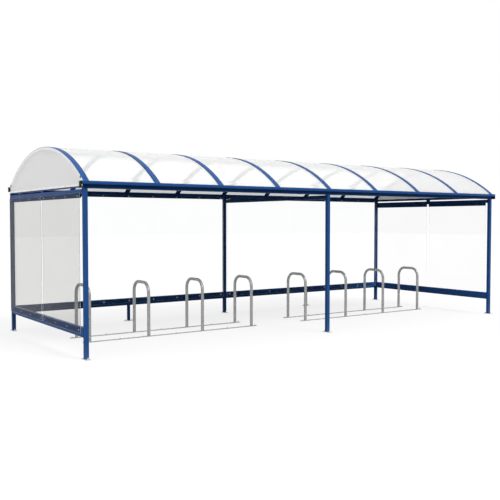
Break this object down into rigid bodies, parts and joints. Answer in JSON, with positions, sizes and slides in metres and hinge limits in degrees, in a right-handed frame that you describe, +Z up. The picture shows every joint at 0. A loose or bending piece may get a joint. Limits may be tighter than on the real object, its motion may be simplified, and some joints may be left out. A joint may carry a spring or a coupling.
{
  "type": "bike shelter",
  "caption": "Open-fronted bike shelter with square posts, barrel roof of curved opal sheets on arches, clear side and back walls, and bent-tube bike hoops on floor bars.",
  "frame": {"origin": "on the ground at the centre of the footprint", "axes": "+X along the open front from its left end to its right end, +Y from the open front to the back wall, +Z up"},
  "size_m": [8.145, 3.14, 2.785],
  "materials": {
    "blue_paint": "satin powder coat on steel tube",
    "rack_galvanised": "dull galvanised steel tube and bar",
    "zinc_plate": "zinc-plated steel plate",
    "opal_sheet": "opal plastic sheet, lets light through but hides shapes",
    "clear_sheet": "clear glossy plastic sheet"
  },
  "bodies": {
    "root": {"back_legs": "blue_paint", "back_wall": "clear_sheet", "base_plates_back": "zinc_plate", "base_plates_front": "zinc_plate", "base_plates_legs": "zinc_plate", "cap_strips": "blue_paint", "eave_beam_back": "blue_paint", "eave_beam_front": "blue_paint", "end_beam_left": "blue_paint", "end_beam_right": "blue_paint", "end_wall_left": "clear_sheet", "end_wall_right": "clear_sheet", "fixing_bars_left": "blue_paint", "fixing_bars_right": "blue_paint", "gable_chords": "blue_paint", "gable_sheet_left": "opal_sheet", "gable_sheet_right": "opal_sheet", "gable_struts": "blue_paint", "gutter_back": "blue_paint", "gutter_front": "blue_paint", "low_rail_back": "blue_paint", "low_rail_left": "blue_paint", "low_rail_right": "blue_paint", "middle_beam": "blue_paint", "post_back_left": "blue_paint", "post_back_middle": "blue_paint", "post_back_right": "blue_paint", "post_front_left": "blue_paint", "post_front_middle": "blue_paint", "post_front_right": "blue_paint", "rack_bars_left": "rack_galvanised", "rack_bars_right": "rack_galvanised", "rack_hoops_left": "rack_galvanised", "rack_hoops_right": "rack_galvanised", "roof_arch_1": "blue_paint", "roof_arch_2": "blue_paint", "roof_arch_3": "blue_paint", "roof_arch_4": "blue_paint", "roof_arch_5": "blue_paint", "roof_arch_6": "blue_paint", "roof_arch_7": "blue_paint", "roof_arch_8": "blue_paint", "roof_arch_9": "blue_paint", "roof_ridge_rail": "blue_paint", "roof_sheets": "opal_sheet"}
  },
  "joints": []
}
